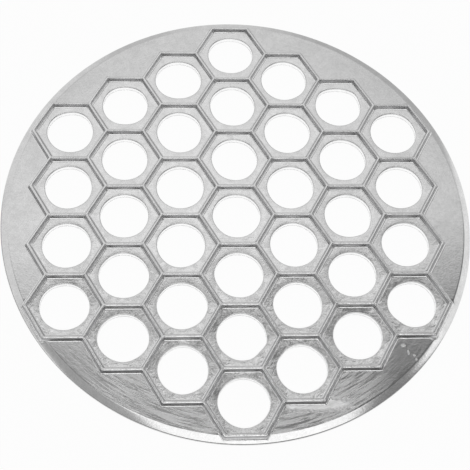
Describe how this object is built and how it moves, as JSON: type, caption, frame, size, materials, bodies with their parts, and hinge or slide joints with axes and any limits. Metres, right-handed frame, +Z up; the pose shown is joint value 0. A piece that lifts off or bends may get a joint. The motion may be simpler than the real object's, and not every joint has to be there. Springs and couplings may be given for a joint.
{
  "type": "pelmeni mold",
  "caption": "Round cast plate with a honeycomb of raised cutting ridges and a round hole through each hexagonal cell, for shaping filled dumplings.",
  "frame": {"origin": "on the flat underside, below the middle of the middle cell", "axes": "+Z up along the plate's axis, out of the face with the ridges; +Y along a column of cells, towards a corner cell of the honeycomb, so +X runs across the columns"},
  "size_m": [0.247, 0.247, 0.005],
  "materials": {
    "cast_aluminium": "satin"
  },
  "bodies": {
    "root": {"mold": "cast_aluminium"}
  },
  "joints": []
}
